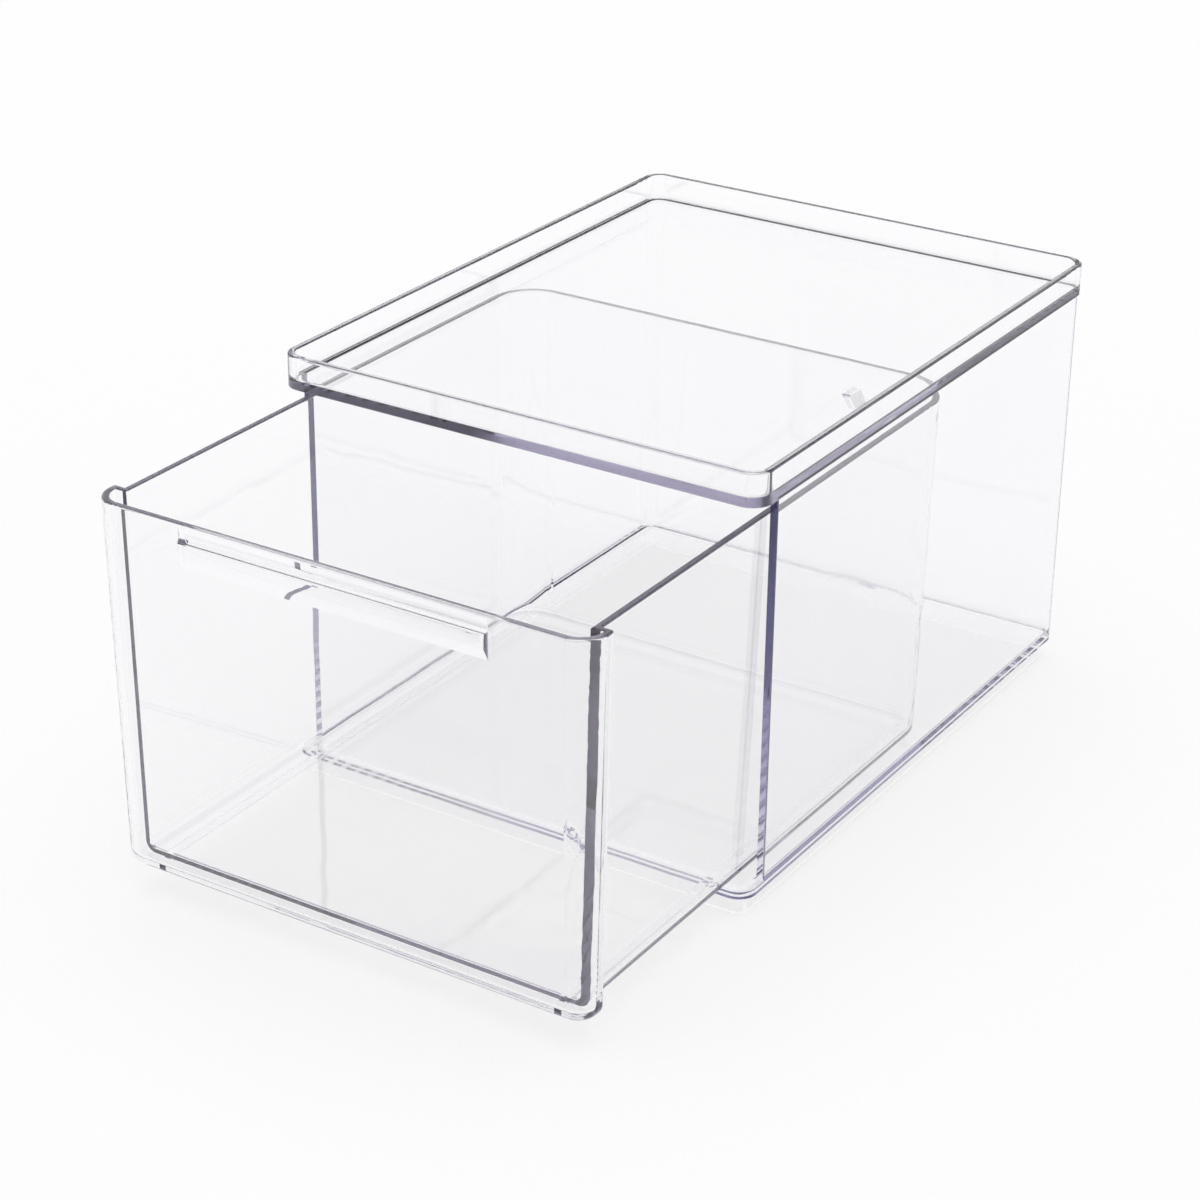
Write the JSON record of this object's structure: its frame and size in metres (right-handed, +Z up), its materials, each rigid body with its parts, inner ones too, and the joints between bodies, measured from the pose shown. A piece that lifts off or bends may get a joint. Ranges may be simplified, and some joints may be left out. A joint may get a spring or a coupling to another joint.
{
  "type": "pull-out storage bin",
  "caption": "Clear stackable storage bin: an open-fronted casing under a lipped stacking tray, with a pull-out drawer that has a moulded finger pull.",
  "frame": {"origin": "on the surface that the foot stands on, under the middle of the whole bin with the drawer pulled out as at rest", "axes": "+Z up, +Y from the drawer's front to the casing's back, +X to the right seen from the front"},
  "size_m": [0.1608, 0.2906, 0.1372],
  "materials": {
    "clear_casing": "clear, high gloss",
    "clear_tray": "clear, high gloss",
    "clear_drawer": "clear, high gloss"
  },
  "bodies": {
    "casing": {"casing_body": "clear_casing", "stacking_tray": "clear_tray"},
    "drawer": {"drawer_bin": "clear_drawer"}
  },
  "joints": [
    {"name": "drawer_slide", "type": "slide", "parent": "casing", "child": "drawer", "axis": [0, -1, 0], "range_m": [-0.0824, 0.024]}
  ]
}
